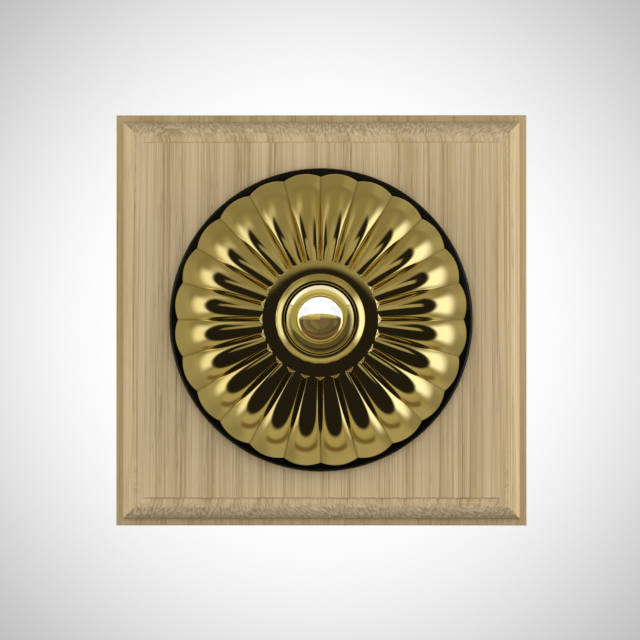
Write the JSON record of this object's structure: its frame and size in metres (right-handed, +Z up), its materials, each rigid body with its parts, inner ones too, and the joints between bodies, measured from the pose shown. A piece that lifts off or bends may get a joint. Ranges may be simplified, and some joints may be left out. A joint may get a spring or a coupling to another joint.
{
  "type": "push button light switch",
  "caption": "Wall switch with a domed brass push button in a fluted brass dome on a round black base and a square moulded oak plinth.",
  "frame": {"origin": "centre of the plinth's back face, on the wall plane, midway between the wall screws", "axes": "+Z up the wall, +Y into the wall, front towards -Y, +X to the viewer's right"},
  "size_m": [0.096, 0.052, 0.096],
  "materials": {
    "oak": "waxed satin oak",
    "black_base": "gloss black",
    "polished_brass": "polished, lacquered",
    "plain_brass": "plain turned brass",
    "plated_steel": "zinc plated",
    "silver_contact": "silver contact metal",
    "grey_fibre": "matt fibre",
    "black_moulding": "matt black moulding"
  },
  "bodies": {
    "switch_body": {"oak_plinth": "oak", "switch_base": "black_base", "fluted_dome": "polished_brass", "ring_nut": "polished_brass", "threaded_bush": "polished_brass", "bush_locknut": "plain_brass", "contact_strip_left": "plain_brass", "contact_strip_right": "plain_brass", "terminal_block_left": "plain_brass", "terminal_block_right": "plain_brass", "earth_cup_washer": "plain_brass", "earth_screw": "plain_brass", "base_screws": "plain_brass", "terminal_clamp_screws": "plain_brass", "terminal_fixing_screws": "plain_brass", "bridge_bracket": "plated_steel", "bracket_screws": "plated_steel", "return_spring": "plated_steel", "fixed_contact_tips": "silver_contact", "insulating_liner": "grey_fibre"},
    "press_button": {"push_button": "polished_brass", "button_clip": "plated_steel", "contact_carrier": "black_moulding", "contact_spring": "plated_steel", "contact_bridge": "plain_brass", "moving_contact_tips": "silver_contact", "bridge_clip": "plated_steel"}
  },
  "joints": [
    {"name": "button_press", "type": "slide", "parent": "switch_body", "child": "press_button", "axis": [0, 1, 0], "range_m": [0, 0.0035], "stiffness_N_per_m": 400, "springref_m": -0.004, "deforming": ["return_spring"]}
  ]
}
